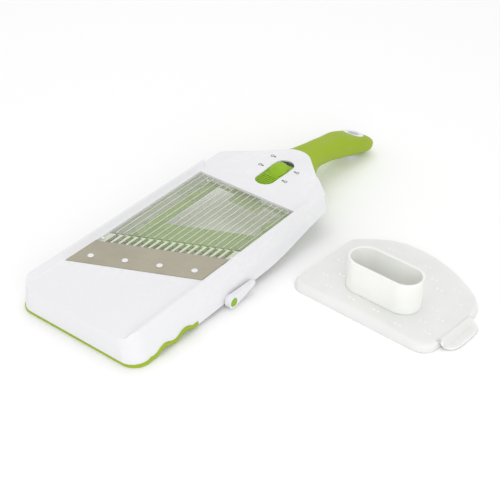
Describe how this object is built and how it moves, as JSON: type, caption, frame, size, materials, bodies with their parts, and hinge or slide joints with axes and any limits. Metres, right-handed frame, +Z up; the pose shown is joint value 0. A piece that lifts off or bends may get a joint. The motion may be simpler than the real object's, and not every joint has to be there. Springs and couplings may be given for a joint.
{
  "type": "mandoline slicer",
  "caption": "Hand-held slicer: slanted blade, clear ramp set by a thumb slide, lever-raised julienne teeth, soft drooping handle and a loose food guard.",
  "frame": {"origin": "middle of the flat under the front edge, on the surface that the slicer rests on", "axes": "+Z up from that surface, +Y from the front edge towards the handle, +X to the user's right; the slicer leans 2.8 degrees, so its deck rises towards +Y"},
  "size_m": [0.2739, 0.3691, 0.0393],
  "materials": {
    "white_plastic": "satin moulded ABS",
    "green_grip": "matt soft-touch elastomer",
    "green_plastic": "satin moulded ABS",
    "blade_steel": "ground stainless steel",
    "small_steel": "zinc plated",
    "clear_plastic": "clear ribbed styrene-acrylonitrile",
    "milky_plastic": "translucent polypropylene",
    "print_ink": "printed marks"
  },
  "bodies": {
    "frame": {"main_body": "white_plastic", "handle_grip": "green_grip", "non_slip_strip": "green_grip", "slicing_blade": "blade_steel", "blade_rivets": "white_plastic", "setting_marks": "print_ink", "detent_spring": "small_steel", "spring_screw": "small_steel", "slider_cover": "white_plastic", "cover_screws": "small_steel", "shaft_keepers": "white_plastic", "keeper_screws": "small_steel"},
    "slide": {"thickness_slider": "green_plastic", "thickness_knob": "green_plastic"},
    "feed_ramp": {"ramp": "clear_plastic"},
    "teeth_bar": {"julienne_carrier": "white_plastic", "julienne_teeth": "blade_steel"},
    "lever_shaft": {"julienne_camshaft": "white_plastic", "julienne_lever": "white_plastic", "lever_screw": "small_steel", "lever_cap": "green_plastic"},
    "food_guard": {"guard_plate": "milky_plastic", "guard_collar": "milky_plastic", "guard_spikes": "milky_plastic"}
  },
  "joints": [
    {"name": "thickness_slide", "type": "slide", "parent": "frame", "child": "slide", "axis": [0, 0.9988, 0.0488], "range_m": [-0.0166, 0.0083]},
    {"name": "ramp_lift", "type": "slide", "parent": "frame", "child": "feed_ramp", "axis": [0, -0.0488, 0.9988], "range_m": [-0.00221, 0.00111]},
    {"name": "julienne_lever_turn", "type": "hinge", "parent": "frame", "child": "lever_shaft", "pos_m": [0, 0.09984, 0.00578], "axis": [1, 0, 0], "range_deg": [0, 90]},
    {"name": "teeth_lift", "type": "slide", "parent": "frame", "child": "teeth_bar", "axis": [0, -0.0488, 0.9988], "range_m": [0, 0.0046]},
    {"name": "guard_lift", "type": "slide", "parent": "frame", "child": "food_guard", "axis": [0, 0, 1], "range_m": [0, 0.08]}
  ],
  "couplings": [
    {"joint": "ramp_lift", "follows": "thickness_slide", "ratio": 0.13253},
    {"joint": "julienne_lever_turn", "follows": "teeth_lift", "rad_per_m": 341.47}
  ]
}
